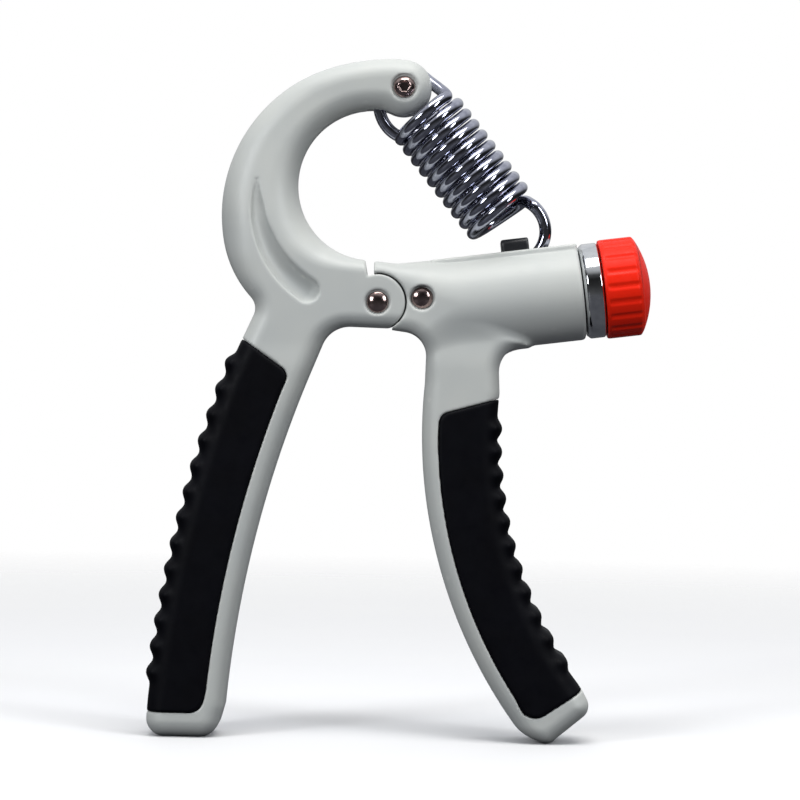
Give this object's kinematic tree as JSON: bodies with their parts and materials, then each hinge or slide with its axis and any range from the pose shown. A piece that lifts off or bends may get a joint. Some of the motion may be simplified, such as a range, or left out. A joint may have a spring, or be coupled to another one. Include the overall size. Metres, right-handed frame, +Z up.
{
  "type": "hand grip strengthener",
  "caption": "Adjustable hand grip strengthener: padded handles on a rivet pivot, a hooked arch, a chromed tension spring and a red knob that moves the spring's lower end.",
  "frame": {"origin": "bottom centre of the object's box, on the surface that the two feet stand on", "axes": "+Z up, along the handles; +X towards the knob; +Y to the rear, along the main pivot"},
  "size_m": [0.1126, 0.0226, 0.1543],
  "materials": {
    "grey_plastic": "light warm grey moulded plastic, satin",
    "black_rubber": "near-black soft moulded rubber, matt",
    "polished_steel": "polished steel rivet and screw heads",
    "zinc_steel": "zinc plated steel",
    "chromed_wire": "chromed spring wire",
    "chrome": "bright chrome",
    "black_nylon": "black nylon",
    "red_plastic": "orange-red moulded plastic, satin"
  },
  "bodies": {
    "right_handle": {"right_handle": "grey_plastic", "right_grip_pad": "black_rubber", "hinge_tongue": "zinc_steel", "tongue_rivet": "polished_steel", "pivot_rivet": "polished_steel", "screw_bushing": "black_nylon", "chrome_collar": "chrome"},
    "left_arm": {"left_arm": "grey_plastic", "left_grip_pad": "black_rubber", "pivot_washer_front": "zinc_steel", "pivot_washer_rear": "zinc_steel", "spring_pin_screw": "polished_steel", "spring_pin_nut": "polished_steel"},
    "spring_pin": {"spring_pin_sleeve": "zinc_steel"},
    "spring": {"tension_spring": "chromed_wire"},
    "spring_hook": {"tension_spring_lower_hook": "chromed_wire"},
    "knob": {"knob": "red_plastic", "lead_screw": "zinc_steel", "retaining_clip": "zinc_steel", "thrust_washer": "zinc_steel"},
    "slider": {"slider_nut": "black_nylon"}
  },
  "joints": [
    {"name": "squeeze", "type": "hinge", "parent": "right_handle", "child": "left_arm", "pos_m": [-0.00581, 0, 0.0989], "axis": [0, -1, 0], "range_deg": [0, 36], "stiffness_Nm_per_rad": 12, "springref_deg": -5.73},
    {"name": "spring_swing", "type": "hinge", "parent": "left_arm", "child": "spring_pin", "pos_m": [-0.0008, 0, 0.14774], "axis": [0, -1, 0], "range_deg": [-9.6, 0]},
    {"name": "spring_tilt", "type": "hinge", "parent": "spring_pin", "child": "spring", "pos_m": [0.00133, 0, 0.14508], "axis": [0, -1, 0], "range_deg": [-10.3, 1.6]},
    {"name": "spring_stretch", "type": "slide", "parent": "spring", "child": "spring_hook", "axis": [0.6248, 0, -0.7808], "range_m": [0, 0.0201], "deforming": ["tension_spring", "tension_spring_lower_hook"]},
    {"name": "knob_turn", "type": "hinge", "parent": "right_handle", "child": "knob", "pos_m": [-0.00581, 0, 0.09618], "axis": [-0.9911, 0, -0.1331], "range_deg": [-2520, 360]},
    {"name": "slider_travel", "type": "slide", "parent": "right_handle", "child": "slider", "axis": [0.9911, 0, 0.1331], "range_m": [-0.0071, 0.0011]}
  ],
  "couplings": [
    {"joint": "spring_swing", "follows": "squeeze", "ratio": -0.26119},
    {"joint": "spring_stretch", "follows": "squeeze", "m_per_rad": 0.031783},
    {"joint": "spring_tilt", "follows": "knob_turn", "ratio": 0.004008},
    {"joint": "slider_travel", "follows": "knob_turn", "m_per_rad": 0.00015915}
  ]
}
